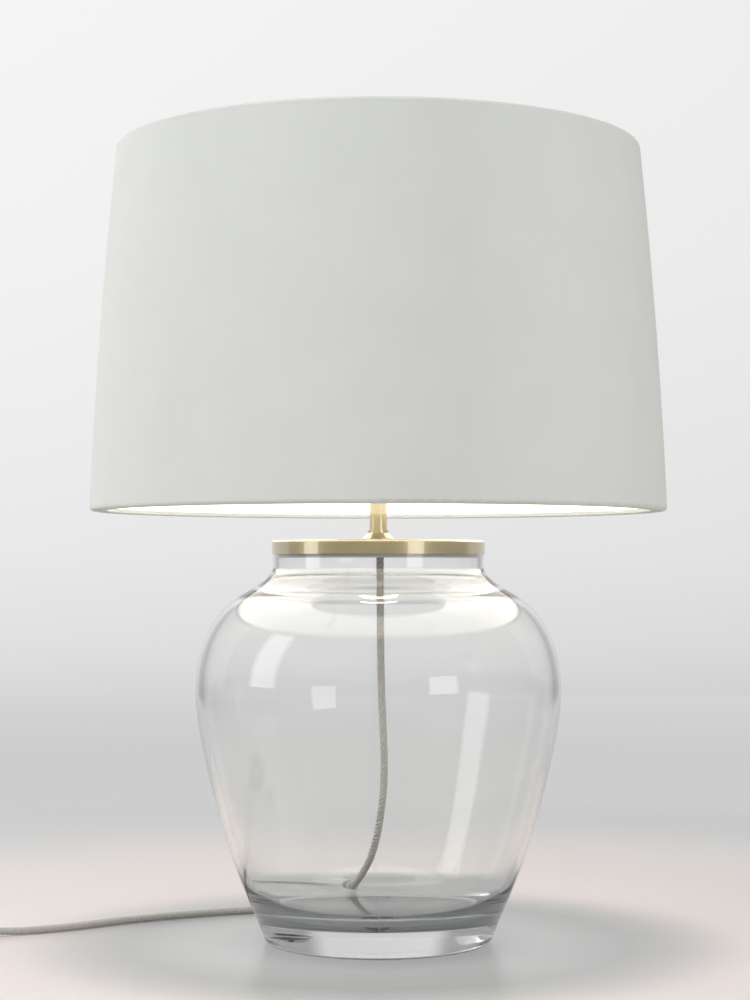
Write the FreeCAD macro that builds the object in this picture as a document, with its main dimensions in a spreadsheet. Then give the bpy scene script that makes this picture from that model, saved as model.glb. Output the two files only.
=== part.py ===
"""Table lamp: a clear glass jar with a brass lid and stem, a lit bulb in a threaded holder, and a bowed
fabric drum shade. A twisted flex hangs in the jar, leaves by a drilled hole and carries a switch and a plug.

Row frame: millimetres, +Z up, origin on the surface the jar stands on, under the middle of the jar.
The flex leaves at the back (+Y) and runs to the left (-X). Driving sizes are in the sheet "Sizes".
"""

import FreeCAD, Part  # FreeCAD first: importing Part first crashes
import math
import os

import Sketcher

Vector = FreeCAD.Vector
UP = Vector(0, 0, 1)
SAME = 0.01  # two lengths or volumes nearer than this are the same
doc = FreeCAD.newDocument("TableLamp")

# --------------------------------------------------------------------------------------------- sizes
SIZES = {
    # glass jar
    "neck_radius": 73.4,
    "neck_wall": 3.5,
    "neck_bottom": 259.5,
    "jar_top": 275.6,
    "jar_rim_round": 1.2,
    "belly_radius": 126.7,
    "belly_height": 181.0,
    "foot_radius": 79.5,
    "foot_height": 5.0,
    "foot_flat_radius": 73.5,
    "jar_wall": 5.2,
    "base_thickness": 20.0,
    # drilled hole for the flex, square to the outside of the glass at the back
    "hole_height": 22.0,
    "hole_azimuth": 104.3,
    "grommet_length": 12.0,
    "grommet_wall": 1.6,
    "grommet_overlap": 2.0,
    "grommet_lip": 1.2,
    "grommet_clearance": 0.1,
    "grommet_bore_play": 0.15,
    # brass lid and its seal
    "lid_clearance": 0.2,
    "lid_skirt": 0.8,
    "lid_thickness": 1.2,
    "lid_depth": 9.6,
    "lid_edge": 1.4,
    "seal_thickness": 1.0,
    "seal_leg": 1.3,
    "seal_depth": 11.0,
    "seal_clearance": 0.1,
    # threaded tube, nuts, washer and stem
    "rod_radius": 4.9,
    "cable_play": 1.25,
    "rod_below_lid": 7.2,
    "rod_in_holder": 6.0,
    "cable_above_rod": 1.0,
    "thread_clearance": 0.1,
    "washer_radius": 8.0,
    "washer_thickness": 1.0,
    "nut_flats": 14.0,
    "nut_height": 3.4,
    "stem_foot_radius": 11.0,
    "stem_foot_edge": 1.4,
    "stem_foot_wall": 1.15,
    "stem_foot_height": 7.2,
    "stem_play": 0.35,
    "stem_wall": 0.9,
    "stem_socket": 2.0,
    "stem_clearance": 0.1,
    "stem_length": 33.0,
    # lampholder
    "holder_mouth_radius": 9.0,
    "holder_shoulder": 1.2,
    "holder_cap_height": 19.0,
    "holder_cap_wall": 1.6,
    "holder_thread_radius": 19.3,
    "holder_collar": 3.0,
    "holder_thread": 26.0,
    "holder_shell_wall": 1.1,
    "holder_lip": 1.5,
    "holder_lip_width": 2.7,
    "insert_play": 0.3,
    "insert_lift": 14.0,
    "insert_floor": 5.0,
    "bulb_play": 0.4,
    "socket_thread_length": 21.0,
    "socket_thread_wall": 0.5,
    "socket_thread_depth": 0.5,
    "thread_pitch": 3.63,
    "contact_radius": 5.0,
    "contact_thickness": 0.6,
    "rivet_radius": 1.9,
    "rivet_play": 0.1,
    "terminal_radius": 1.6,
    "terminal_height": 2.0,
    "terminal_offset": 9.0,
    "core_radius": 0.9,
    "core_spacing": 1.3,
    "core_bend": 2.5,
    # ring nuts that clamp the shade
    "ring_nut_grip": 7.1,
    "ring_nut_flange": 1.8,
    "ring_nut_wall": 3.1,
    "ring_nut_height": 5.0,
    "ring_nut_notch": 0.9,
    "ring_nut_notches": 24,
    "seat_gap": 0.1,
    # bulb
    "bulb_length": 110.0,
    "bulb_radius": 30.0,
    "bulb_wall": 1.2,
    "bulb_gap": 0.3,
    "button_radius": 4.0,
    "button_height": 1.6,
    "insulator_radius": 10.5,
    "insulator_height": 7.0,
    "cap_thread_radius": 13.1,
    "cap_thread_depth": 0.8,
    "cap_wall": 0.7,
    "cap_length": 26.0,
    "cap_thread_length": 16.2,
    "collar_foot_radius": 14.2,
    "collar_radius": 22.0,
    "collar_spigot": 6.0,
    "collar_wall": 1.5,
    "board_thickness": 1.6,
    "chip_size": 2.8,
    "chip_height": 0.7,
    "chip_circle": 12.0,
    "chip_count": 8,
    # shade
    "spider_recess": 47.0,
    "spider_above_collar": 7.0,
    "shade_height": 253.0,
    "shade_bottom_radius": 200.0,
    "shade_top_radius": 182.2,
    "shade_bow": 1.9,
    "shade_wall": 11.8,
    "cover_thickness": 0.9,
    "lining_thickness": 0.6,
    "hem_height": 3.0,
    "hem_round": 2.6,
    "hem_inner_round": 0.9,
    "ring_wire": 1.8,
    "strut_wire": 1.5,
    "strut_count": 6,
    "wire_gap": 0.1,
    "spider_bore_play": 0.6,
    "spider_ring_width": 8.1,
    "spider_thickness": 1.6,
    "arm_wire": 2.0,
    "arm_count": 3,
    "arm_weld": 1.0,
    "arm_slit": 0.4,
    # flex
    "cord_radius": 2.75,
    "coil_outer_turn": 40.0,
    "coil_inner_turn": 22.3,
    "coil_layers": 2,
    # in-line switch
    "switch_length": 62.0,
    "switch_width": 25.0,
    "switch_height": 18.0,
    "switch_split": 6.5,
    "switch_wall": 1.8,
    "switch_shoulder": 11.0,
    "switch_nose": 7.0,
    "switch_round": 2.2,
    "rocker_length": 20.8,
    "rocker_width": 11.0,
    "rocker_play": 0.6,
    "rocker_tilt": 9.0,
    "rocker_under_pivot": 2.0,
    "rocker_above_pivot": 4.6,
    "rocker_tip_rise": 1.8,
    "rocker_taper": 0.8,
    "pivot_height": 13.0,
    "pivot_radius": 1.5,
    "pivot_play": 0.06,
    "pivot_seat": 0.9,
    "boss_radius": 3.2,
    "boss_x": 18.5,
    "boss_y": 6.0,
    "screw_radius": 1.3,
    "screw_head": 2.4,
    "screw_head_height": 1.5,
    "screw_length": 13.5,
    "slot_width": 0.7,
    "slot_depth": 0.6,
    "screw_play": 0.1,
    "clamp_length": 9.0,
    "clamp_width": 4.0,
    "clamp_height": 4.0,
    "clamp_x": 14.0,
    "clamp_y": 5.6,
    # plug and its strain relief
    "plug_length": 34.0,
    "plug_width": 26.0,
    "plug_shoulder": 10.0,
    "plug_tail_width": 12.0,
    "plug_front_width": 22.0,
    "plug_thickness": 13.7,
    "plug_round": 2.5,
    "pin_radius": 2.0,
    "pin_shank": 1.4,
    "pin_length": 19.0,
    "pin_seat": 6.0,
    "pin_spacing": 18.6,
    "sleeve_length": 10.0,
    "sleeve_radius": 1.8,
    "sleeve_play": 0.05,
    "relief_length": 24.0,
    "relief_radius": 5.0,
    "relief_tip": 3.5,
    "relief_groove": 0.8,
    "relief_grooves": 4,
}

sheet = doc.addObject("Spreadsheet::Sheet", "Sizes")
for row, (alias, number) in enumerate(SIZES.items(), start=1):
    sheet.set(f"A{row}", alias)
    sheet.set(f"B{row}", str(number))
    sheet.setAlias(f"B{row}", alias)
doc.recompute()


class Size:
    """A size that carries its number and the spreadsheet formula that gives it."""

    def __init__(self, number, formula=None):
        self.number = float(number)
        self.formula = formula or repr(float(number))

    def joined(self, other, sign, number):
        other = size(other)
        return Size(number(self.number, other.number), f"({self.formula} {sign} {other.formula})")

    def __add__(self, other):
        return self.joined(other, "+", lambda a, b: a + b)

    def __sub__(self, other):
        return self.joined(other, "-", lambda a, b: a - b)

    def __mul__(self, other):
        return self.joined(other, "*", lambda a, b: a * b)

    def __truediv__(self, other):
        return self.joined(other, "/", lambda a, b: a / b)

    def __radd__(self, other):
        return size(other) + self

    def __rsub__(self, other):
        return size(other) - self

    def __rmul__(self, other):
        return size(other) * self

    def __neg__(self):
        return 0 - self

    def __float__(self):
        return self.number


def size(value):
    return value if isinstance(value, Size) else Size(value)


class Sheet:
    """Gives each alias of the spreadsheet as a Size."""

    def __getattr__(self, alias):
        return Size(sheet.get(alias), f"Sizes.{alias}")


s = Sheet()
NODES = []

# Sizes that follow from what fits inside.
grommet_bore = s.cord_radius + s.grommet_bore_play
grommet_sleeve = grommet_bore + s.grommet_wall
hole_radius = grommet_sleeve + s.grommet_clearance
grommet_flange = hole_radius + s.grommet_overlap
rod_bore = s.cord_radius + s.cable_play
rod_hole = s.rod_radius + s.thread_clearance
stem_radius = s.rod_radius + s.stem_play + s.stem_wall
stem_foot_top = stem_radius + s.stem_clearance + s.stem_foot_wall
holder_cap_radius = s.holder_thread_radius + s.holder_shoulder
holder_bore = s.holder_thread_radius - s.holder_shell_wall
holder_lip_radius = holder_bore - s.holder_lip_width
insert_radius = holder_bore - s.insert_play
socket_crest = s.cap_thread_radius + s.bulb_play + s.socket_thread_wall + s.socket_thread_depth
insert_bore = socket_crest + s.seat_gap
nut_bore = s.holder_thread_radius + s.thread_clearance
ring_nut_radius = nut_bore + s.ring_nut_grip
ring_nut_hub = nut_bore + s.ring_nut_wall
spider_bore = s.holder_thread_radius + s.spider_bore_play
spider_ring_radius = spider_bore + s.spider_ring_width


def mm(value):
    """The plain number of a Size."""
    return float(value)


# --------------------------------------------------------------------------------------- feature helpers
def new_body(label):
    body = doc.addObject("PartDesign::Body", label)
    body.Label = label
    NODES.append(body)
    return body


def origin_plane(body, role):
    return next(item for item in body.Origin.OriginFeatures if item.Role == role)


def outline_sketch(body, points, plane="XZ_Plane", offset=None, inner=()):
    """A sketch of closed straight-sided loops. Each corner is a pair of Sizes, pinned to the sheet."""
    sketch = body.newObject("Sketcher::SketchObject", "Outline")
    sketch.AttachmentSupport = [(origin_plane(body, plane), "")]
    sketch.MapMode = "FlatFace"
    if offset is not None:
        sketch.setExpression("AttachmentOffset.Base.z", size(offset).formula)
    for loop in (points, *inner):
        loop = [(size(x), size(y)) for x, y in loop]
        first = sketch.GeometryCount
        count = len(loop)
        for i in range(count):
            (x0, y0), (x1, y1) = loop[i], loop[(i + 1) % count]
            line = Part.LineSegment(Vector(mm(x0), mm(y0), 0), Vector(mm(x1), mm(y1), 0))
            sketch.addGeometry(line, False)
        for i in range(count):
            following = first + (i + 1) % count
            sketch.addConstraint(Sketcher.Constraint("Coincident", first + i, 2, following, 1))
        for i, (x, y) in enumerate(loop):
            pin(sketch, first + i, "DistanceX", -2, x)
            pin(sketch, first + i, "DistanceY", -1, y)
    return sketch


def pin(sketch, edge, kind, axis, value):
    """Fixes one coordinate of an edge's first point, on the axis itself where the coordinate is zero."""
    if value.number == 0 and "Sizes" not in value.formula:
        sketch.addConstraint(Sketcher.Constraint("PointOnObject", edge, 1, axis))
        return
    index = sketch.addConstraint(Sketcher.Constraint(kind, -1, 1, edge, 1, value.number))
    sketch.setExpression(f"Constraints[{index}]", value.formula)


def circle_sketch(body, radius, centre=(0, 0), plane="XY_Plane", offset=None):
    sketch = body.newObject("Sketcher::SketchObject", "Circle")
    sketch.AttachmentSupport = [(origin_plane(body, plane), "")]
    sketch.MapMode = "FlatFace"
    if offset is not None:
        sketch.setExpression("AttachmentOffset.Base.z", size(offset).formula)
    x, y = size(centre[0]), size(centre[1])
    radius = size(radius)
    sketch.addGeometry(Part.Circle(Vector(mm(x), mm(y), 0), UP, mm(radius)), False)
    index = sketch.addConstraint(Sketcher.Constraint("Radius", 0, radius.number))
    sketch.setExpression(f"Constraints[{index}]", radius.formula)
    for kind, axis, value in (("DistanceX", -2, x), ("DistanceY", -1, y)):
        if value.number == 0 and "Sizes" not in value.formula:
            sketch.addConstraint(Sketcher.Constraint("PointOnObject", 0, 3, axis))
        else:
            index = sketch.addConstraint(Sketcher.Constraint(kind, -1, 1, 0, 3, value.number))
            sketch.setExpression(f"Constraints[{index}]", value.formula)
    return sketch


def revolve(body, sketch):
    turned = body.newObject("PartDesign::Revolution", "Turned")
    turned.Profile = sketch
    turned.ReferenceAxis = (sketch, ["V_Axis"])
    turned.Angle = 360
    doc.recompute()
    return turned


def turned_body(label, points):
    """A round piece about the Z axis, from its half section."""
    body = new_body(label)
    revolve(body, outline_sketch(body, points))
    return body


def pad(body, sketch, length, both_ways=False):
    feature = body.newObject("PartDesign::Pad", "Pad")
    feature.Profile = sketch
    feature.setExpression("Length", size(length).formula)
    feature.Midplane = both_ways
    doc.recompute()
    return feature


def pocket(body, sketch, length, both_ways=False, reverse=False):
    """Cuts a pocket and makes sure that it took something away."""
    before = body.Shape.Volume
    feature = body.newObject("PartDesign::Pocket", "Pocket")
    feature.Profile = sketch
    feature.setExpression("Length", size(length).formula)
    feature.Midplane = both_ways
    feature.Reversed = reverse
    doc.recompute()
    if body.Shape.Volume > before - SAME:
        raise RuntimeError(f"a pocket in {body.Label} cut nothing")
    return feature


def round_edges(body, radius, wanted, kind="PartDesign::Fillet"):
    """Fillets or chamfers the edges of the body's tip for which wanted(edge) is true."""
    tip = body.Tip
    names = [f"Edge{i}" for i, edge in enumerate(tip.Shape.Edges, start=1) if wanted(edge)]
    if not names:
        raise RuntimeError(f"no edge to round in {body.Label}")
    feature = body.newObject(kind, "Rounded")
    feature.Base = (tip, names)
    feature.setExpression("Radius" if kind.endswith("Fillet") else "Size", size(radius).formula)
    doc.recompute()
    return feature


def circle_at(radius, height):
    """A test for the round edge of that radius at that height."""

    def test(edge):
        curve = edge.Curve
        return (
            isinstance(curve, Part.Circle)
            and abs(curve.Radius - mm(radius)) < SAME
            and abs(curve.Center.z - mm(height)) < SAME
        )

    return test


def pattern(body, feature, sketch, count):
    """Repeats a feature evenly about the Z axis."""
    repeated = body.newObject("PartDesign::PolarPattern", "Around")
    repeated.Originals = [feature]
    repeated.Axis = (sketch, ["N_Axis"])
    repeated.Angle = 360
    repeated.setExpression("Occurrences", size(count).formula)
    body.Tip = repeated
    doc.recompute()
    return repeated


def shaped(label, shape, placement=None):
    """A piece whose shape neither the bodies nor the primitives can make."""
    piece = doc.addObject("Part::Feature", label)
    piece.Label = label
    piece.Shape = shape
    if placement is not None:
        piece.Placement = placement
    NODES.append(piece)
    return piece


def swept(path_edges, radius):
    """A round bar of that radius along a smooth chain of edges."""
    wire = Part.Wire(path_edges)
    start = path_edges[0].firstVertex().Point
    tangent = path_edges[0].tangentAt(path_edges[0].FirstParameter)
    section = Part.Wire([Part.Circle(start, tangent, radius).toShape()])
    pipe = Part.BRepOffsetAPI.MakePipeShell(wire)
    pipe.setFrenetMode(True)
    pipe.add(section)
    pipe.build()
    pipe.makeSolid()
    return pipe.shape()


# --------------------------------------------------------------------------------------------- glass jar
# Outline of the jar between the named sizes: (share of the height, share of the radius) of each stretch.
BELOW_BELLY = ((0.2165, 0.337), (0.452, 0.638), (0.688, 0.858))
ABOVE_BELLY = ((0.358, 0.887), (0.623, 0.651), (0.756, 0.405), (0.85, 0.173), (0.92, 0.055))
FOOT_FLARE = 0.4
# Bowl inside the base: (share of the bowl's radius, share of its depth), from the rim inwards.
BOWL = ((0.925, 0.52), (0.79, 0.16), (0.56, 0.03))
SHOULDER_WALL = 0.65
HALF_RIGHT_ANGLE = math.sqrt(0.5)  # sine and cosine of 45 degrees


def in_section(radius, height):
    return Vector(mm(radius), 0, mm(height))


def jar_outside():
    """The jar's outer curve from the top of its foot to the neck, and the points it passes."""
    foot, belly, neck = mm(s.foot_radius), mm(s.belly_radius), mm(s.neck_radius)
    low, middle, high = mm(s.foot_height), mm(s.belly_height), mm(s.neck_bottom)
    points = [in_section(foot, low)]
    points += [in_section(foot + r * (belly - foot), low + t * (middle - low)) for t, r in BELOW_BELLY]
    points.append(in_section(belly, middle))
    points += [in_section(neck + r * (belly - neck), middle + t * (high - middle)) for t, r in ABOVE_BELLY]
    points.append(in_section(neck, high))
    curve = Part.BSplineCurve()
    curve.interpolate(Points=points, InitialTangent=Vector(FOOT_FLARE, 0, 1), FinalTangent=UP)
    return curve, points


def outward(curve, point):
    """The direction square to the outside of the glass at a point of its section."""
    tangent = curve.tangent(curve.parameter(point))[0]
    return Vector(tangent.z, 0, -tangent.x).normalize()


def jar_inside(curve, points):
    """The inner curve from the middle of the floor up to the neck."""
    wall, floor = mm(s.jar_wall), mm(s.base_thickness)
    inner = [point - outward(curve, point) * wall for point in points[1:-2]]
    low_shoulder = points[-2]
    inner.append(low_shoulder - outward(curve, low_shoulder) * wall * SHOULDER_WALL)
    inner.append(in_section(s.neck_radius - s.neck_wall, s.neck_bottom))
    rim = inner[0]
    bowl = [Vector(0, 0, floor)]
    bowl += [Vector(r * rim.x, 0, floor + t * (rim.z - floor)) for r, t in reversed(BOWL)]
    line = Part.BSplineCurve()
    line.interpolate(Points=bowl + inner, InitialTangent=Vector(1, 0, 0), FinalTangent=UP)
    return line


def hole_frame():
    """The middle of the hole's outer mouth and the way its axis points, out of the jar."""
    curve = jar_outside()[0]
    level = Part.makeLine(in_section(0, s.hole_height), in_section(s.belly_radius * 2, s.hole_height))
    mouth = curve.toShape().distToShape(level)[1][0][0]
    turn = FreeCAD.Rotation(UP, mm(s.hole_azimuth))
    return turn.multVec(mouth), turn.multVec(outward(curve, mouth))


def jar_shape():
    outside, points = jar_outside()
    top, rim, rounding = mm(s.jar_top), mm(s.neck_radius), mm(s.jar_rim_round)
    bore = mm(s.neck_radius - s.neck_wall)
    flat, foot = in_section(s.foot_flat_radius, 0), points[0]
    sideways, rise = foot.x - flat.x, foot.z
    foot_middle = Vector(flat.x + sideways * HALF_RIGHT_ANGLE, 0, rise * (1 - HALF_RIGHT_ANGLE))
    corner = Vector(rim - rounding, 0, top - rounding)
    edges = [
        Part.makeLine(Vector(), flat),
        Part.Arc(flat, foot_middle, foot).toShape(),
        outside.toShape(),
        Part.makeLine(points[-1], corner + Vector(rounding, 0, 0)),
        Part.Arc(
            corner + Vector(rounding, 0, 0),
            corner + Vector(rounding * HALF_RIGHT_ANGLE, 0, rounding * HALF_RIGHT_ANGLE),
            corner + Vector(0, 0, rounding),
        ).toShape(),
        Part.makeLine(corner + Vector(0, 0, rounding), Vector(bore, 0, top)),
        Part.makeLine(Vector(bore, 0, top), in_section(bore, s.neck_bottom)),
        jar_inside(outside, points).toShape(),
        Part.makeLine(in_section(0, s.base_thickness), Vector()),
    ]
    section = Part.Face(Part.Wire(Part.sortEdges(edges)[0]))
    jar = section.revolve(Vector(), UP, 360)
    mouth, out = hole_frame()
    reach = mm(s.grommet_length) * 2
    drill = Part.makeCylinder(mm(hole_radius), 2 * reach, mouth - out * reach, out)
    return jar.cut(drill)


shaped("glass_jar", jar_shape())

# Grommet: a sleeve with a flange outside the glass, built along its own Z axis and set into the hole.
grommet = turned_body(
    "cord_grommet",
    [
        (grommet_bore, -s.grommet_length),
        (grommet_sleeve, -s.grommet_length),
        (grommet_sleeve, s.grommet_clearance),
        (grommet_flange, s.grommet_clearance),
        (grommet_flange, s.grommet_clearance + s.grommet_lip),
        (grommet_bore, s.grommet_clearance + s.grommet_lip),
    ],
)
hole_mouth, hole_out = hole_frame()
grommet.Placement = FreeCAD.Placement(hole_mouth, FreeCAD.Rotation(UP, hole_out))

# --------------------------------------------------------------------------------------------- lid
lid_underside = s.jar_top + s.seal_thickness
lid_top = lid_underside + s.lid_thickness
lid_inner = s.neck_radius + s.lid_clearance
lid_outer = lid_inner + s.lid_skirt
lid = turned_body(
    "jar_lid",
    [
        (rod_hole, lid_underside),
        (lid_inner, lid_underside),
        (lid_inner, lid_top - s.lid_depth),
        (lid_outer, lid_top - s.lid_depth),
        (lid_outer, lid_top),
        (rod_hole, lid_top),
    ],
)
round_edges(lid, s.lid_edge, circle_at(lid_outer, lid_top))

seal_outer = s.neck_radius - s.neck_wall - s.seal_clearance
seal_inner = seal_outer - s.seal_leg
turned_body(
    "lid_seal",
    [
        (seal_inner, lid_underside - s.seal_depth),
        (seal_outer, lid_underside - s.seal_depth),
        (seal_outer, s.jar_top),
        (s.neck_radius - s.jar_rim_round, s.jar_top),
        (s.neck_radius - s.jar_rim_round, lid_underside),
        (seal_inner, lid_underside),
    ],
)


def washer(label, bore, radius, bottom, thickness):
    return turned_body(
        label,
        [(bore, bottom), (radius, bottom), (radius, bottom + thickness), (bore, bottom + thickness)],
    )


def hex_nut(label, bottom):
    """A thin hexagon nut on the threaded tube."""
    body = new_body(label)
    corner = s.nut_flats / math.sqrt(3)
    hexagon = [
        (corner * math.cos(math.radians(angle)), corner * math.sin(math.radians(angle)))
        for angle in range(30, 390, 60)
    ]
    pad(body, outline_sketch(body, hexagon, plane="XY_Plane", offset=bottom), s.nut_height)
    bore = circle_sketch(body, rod_hole, offset=bottom)
    pocket(body, bore, s.nut_height, reverse=True)
    return body


washer("lid_washer", rod_hole, s.washer_radius, lid_underside - s.washer_thickness, s.washer_thickness)
hex_nut("lid_nut", lid_underside - s.washer_thickness - s.nut_height)

# --------------------------------------------------------------------------------------------- stem
stem_seat = lid_top + s.stem_foot_height - s.stem_socket
holder_bottom = stem_seat + s.stem_length
holder_floor = holder_bottom + s.holder_cap_wall
rod_bottom = lid_underside - s.rod_below_lid
rod_top = holder_bottom + s.rod_in_holder
washer("threaded_tube", rod_bore, s.rod_radius, rod_bottom, rod_top - rod_bottom)

# Flare of the stem's foot: (share of its overhang, share of its height), from the disc up to the collar.
FOOT_CURVE = ((0.63, 0.36), (0.3, 0.56), (0.0, 0.74))
foot_overhang = s.stem_foot_radius - stem_foot_top
turned_body(
    "stem_foot",
    [
        (rod_hole, lid_top),
        (s.stem_foot_radius, lid_top),
        (s.stem_foot_radius, lid_top + s.stem_foot_edge),
    ]
    + [(stem_foot_top + foot_overhang * r, lid_top + s.stem_foot_height * t) for r, t in FOOT_CURVE]
    + [
        (stem_foot_top, lid_top + s.stem_foot_height),
        (stem_radius + s.stem_clearance, lid_top + s.stem_foot_height),
        (stem_radius + s.stem_clearance, stem_seat),
        (rod_hole, stem_seat),
    ],
)
washer("stem_tube", stem_radius - s.stem_wall, stem_radius, stem_seat, s.stem_length)

# The flex runs up inside the threaded tube, against one side of its bore.
cable_x = rod_bore - s.cord_radius - s.thread_clearance
cable_top = rod_top + s.cable_above_rod
cable = doc.addObject("Part::Cylinder", "stem_cable")
cable.Label = "stem_cable"
cable.setExpression("Radius", s.cord_radius.formula)
cable.setExpression("Height", (cable_top - rod_bottom).formula)
cable.setExpression("Placement.Base.x", cable_x.formula)
cable.setExpression("Placement.Base.z", rod_bottom.formula)
NODES.append(cable)

# --------------------------------------------------------------------------------------------- lampholder
SHOULDER_TOP = 0.42  # share of the cap's height at which its shoulder ends
SHOULDER_MIDDLE = 0.86  # share of the cap's radius half-way up the shoulder
cap_top = holder_bottom + s.holder_cap_height
cap_inner = holder_cap_radius - s.holder_cap_wall
shoulder_top = holder_bottom + s.holder_cap_height * SHOULDER_TOP
shoulder_middle = (holder_bottom + shoulder_top) / 2
shoulder_radius = holder_cap_radius * SHOULDER_MIDDLE
turned_body(
    "holder_cap",
    [
        (rod_hole, holder_bottom),
        (s.holder_mouth_radius, holder_bottom),
        (shoulder_radius, shoulder_middle),
        (holder_cap_radius, shoulder_top),
        (holder_cap_radius, cap_top),
        (cap_inner, cap_top),
        (cap_inner, shoulder_top),
        (shoulder_radius - s.holder_cap_wall, shoulder_middle + s.holder_cap_wall),
        (s.holder_mouth_radius, holder_floor),
        (rod_hole, holder_floor),
    ],
)
hex_nut("holder_nut", holder_floor)

collar_top = cap_top + s.holder_collar
shell_top = collar_top + s.holder_thread
lip_bottom = shell_top - s.holder_lip
turned_body(
    "holder_shell",
    [
        (holder_bore, cap_top),
        (holder_cap_radius, cap_top),
        (holder_cap_radius, collar_top),
        (s.holder_thread_radius, collar_top),
        (s.holder_thread_radius, shell_top),
        (holder_lip_radius, shell_top),
        (holder_lip_radius, lip_bottom),
        (holder_bore, lip_bottom),
    ],
)

insert_bottom = holder_bottom + s.insert_lift
insert_seat = insert_bottom + s.insert_floor
insert_top = lip_bottom - s.seat_gap
rivet_hole = s.rivet_radius + s.rivet_play
turned_body(
    "holder_insert",
    [
        (rivet_hole, insert_bottom),
        (insert_radius, insert_bottom),
        (insert_radius, insert_top),
        (insert_bore, insert_top),
        (insert_bore, insert_seat),
        (rivet_hole, insert_seat),
    ],
)
turned_body(
    "holder_contact",
    [
        (0, insert_bottom),
        (s.rivet_radius, insert_bottom),
        (s.rivet_radius, insert_seat),
        (s.contact_radius, insert_seat),
        (s.contact_radius, insert_seat + s.contact_thickness),
        (0, insert_seat + s.contact_thickness),
    ],
)


RIB_FLANK = 0.35  # share of a thread's pitch taken by each flank


def ribbed(radius, depth, bottom, length, pitch):
    """Points of a screw thread's section drawn as rings: crests at the radius, roots a depth inside it."""
    count = int(mm(length) / mm(pitch))
    points = []
    for turn in range(count):
        start = bottom + pitch * turn
        points.append((radius - depth, start))
        points.append((radius, start + pitch * RIB_FLANK))
        points.append((radius, start + pitch * (1 - RIB_FLANK)))
    points.append((radius - depth, bottom + pitch * count))
    return points


sleeve_bottom = insert_seat + s.seat_gap
socket_rib = (s.socket_thread_depth, sleeve_bottom, s.socket_thread_length, s.thread_pitch)
outer_ribs = ribbed(socket_crest, *socket_rib)
inner_ribs = [(radius - s.socket_thread_wall, height) for radius, height in reversed(outer_ribs)]
turned_body("holder_screw_shell", outer_ribs + inner_ribs)


def terminal_screws():
    """Two screw heads under the insert, one for each core of the flex."""
    radius, tall, offset = mm(s.terminal_radius), mm(s.terminal_height), mm(s.terminal_offset)
    foot = mm(insert_bottom) - tall
    places = [Vector(side * offset, 0, foot) for side in (-1, 1)]
    return Part.makeCompound([Part.makeCylinder(radius, tall, place) for place in places])


def core_wires():
    """Two insulated cores from the end of the flex out to the terminal screws."""
    radius, bend = mm(s.core_radius), mm(s.core_bend)
    level = mm(insert_bottom) - mm(s.terminal_height) / 2
    low = mm(cable_top)
    wires = []
    for side in (-1, 1):
        x = mm(cable_x) + side * mm(s.core_spacing)
        end = side * (mm(s.terminal_offset) - mm(s.terminal_radius))
        corner = Vector(x, 0, level)
        rise = corner - UP * bend
        away = corner + Vector(side * bend, 0, 0)
        middle = corner + Vector(side * bend * (1 - HALF_RIGHT_ANGLE), 0, -bend * (1 - HALF_RIGHT_ANGLE))
        edges = [
            Part.makeLine(Vector(x, 0, low), rise),
            Part.Arc(rise, middle, away).toShape(),
            Part.makeLine(away, Vector(end, 0, level)),
        ]
        wires.append(swept(edges, radius))
    return Part.makeCompound(wires)


shaped("holder_terminals", terminal_screws())
shaped("holder_wires", core_wires())

# --------------------------------------------------------------------------------------------- ring nuts
spider_bottom = collar_top + s.spider_above_collar
spider_top = spider_bottom + s.spider_thickness


def ring_nut(label, face, way):
    """A ring nut whose flange lies at the height face and whose hub points up (+1) or down (-1)."""
    body = new_body(label)
    flange, hub = face + s.ring_nut_flange * way, face + s.ring_nut_height * way
    section = [
        (nut_bore, face),
        (ring_nut_radius, face),
        (ring_nut_radius, flange),
        (ring_nut_hub, flange),
        (ring_nut_hub, hub),
        (nut_bore, hub),
    ]
    revolve(body, outline_sketch(body, section))
    low = face if way > 0 else flange
    notch = circle_sketch(body, s.ring_nut_notch, centre=(ring_nut_radius, 0), offset=low)
    cut = pocket(body, notch, s.ring_nut_flange, reverse=True)
    pattern(body, cut, notch, s.ring_nut_notches)
    return body


ring_nut("shade_nut_lower", spider_bottom - s.seat_gap, -1)
ring_nut("shade_nut_upper", spider_top + s.seat_gap, 1)

# --------------------------------------------------------------------------------------------- bulb
BUTTON_TIP = 0.7  # share of the contact's radius that is flat
BUTTON_SIDE = 0.6  # share of the contact's height below its straight side
INSULATOR_TIP = 1.15  # radius of the insulator's flat tip over the contact's radius
INSULATOR_SIDE = 0.35  # share of the insulator's height that is straight
COLLAR_WAIST = 0.4  # share of the collar's height at which it turns outwards
bulb_bottom = insert_seat + s.contact_thickness + s.bulb_gap
turned_body(
    "bulb_contact",
    [
        (0, bulb_bottom),
        (s.button_radius * BUTTON_TIP, bulb_bottom),
        (s.button_radius, bulb_bottom + s.button_height * BUTTON_SIDE),
        (s.button_radius, bulb_bottom + s.button_height),
        (0, bulb_bottom + s.button_height),
    ],
)
insulator_bottom = bulb_bottom + s.button_height
insulator_top = bulb_bottom + s.insulator_height
cap_bottom = insulator_top - s.insulator_height * INSULATOR_SIDE
turned_body(
    "bulb_insulator",
    [
        (0, insulator_bottom),
        (s.button_radius * INSULATOR_TIP, insulator_bottom),
        (s.insulator_radius, cap_bottom),
        (s.insulator_radius, insulator_top),
        (0, insulator_top),
    ],
)
cap_root = s.cap_thread_radius - s.cap_thread_depth
cap_bore = cap_root - s.cap_wall
cap_end = bulb_bottom + s.cap_length
cap_mouth = s.insulator_radius + s.seat_gap
cap_ribs_bottom = cap_bottom + s.cap_wall * 2
cap_rib = (s.cap_thread_depth, cap_ribs_bottom, s.cap_thread_length, s.thread_pitch)
cap_ribs = ribbed(s.cap_thread_radius, *cap_rib)
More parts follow.
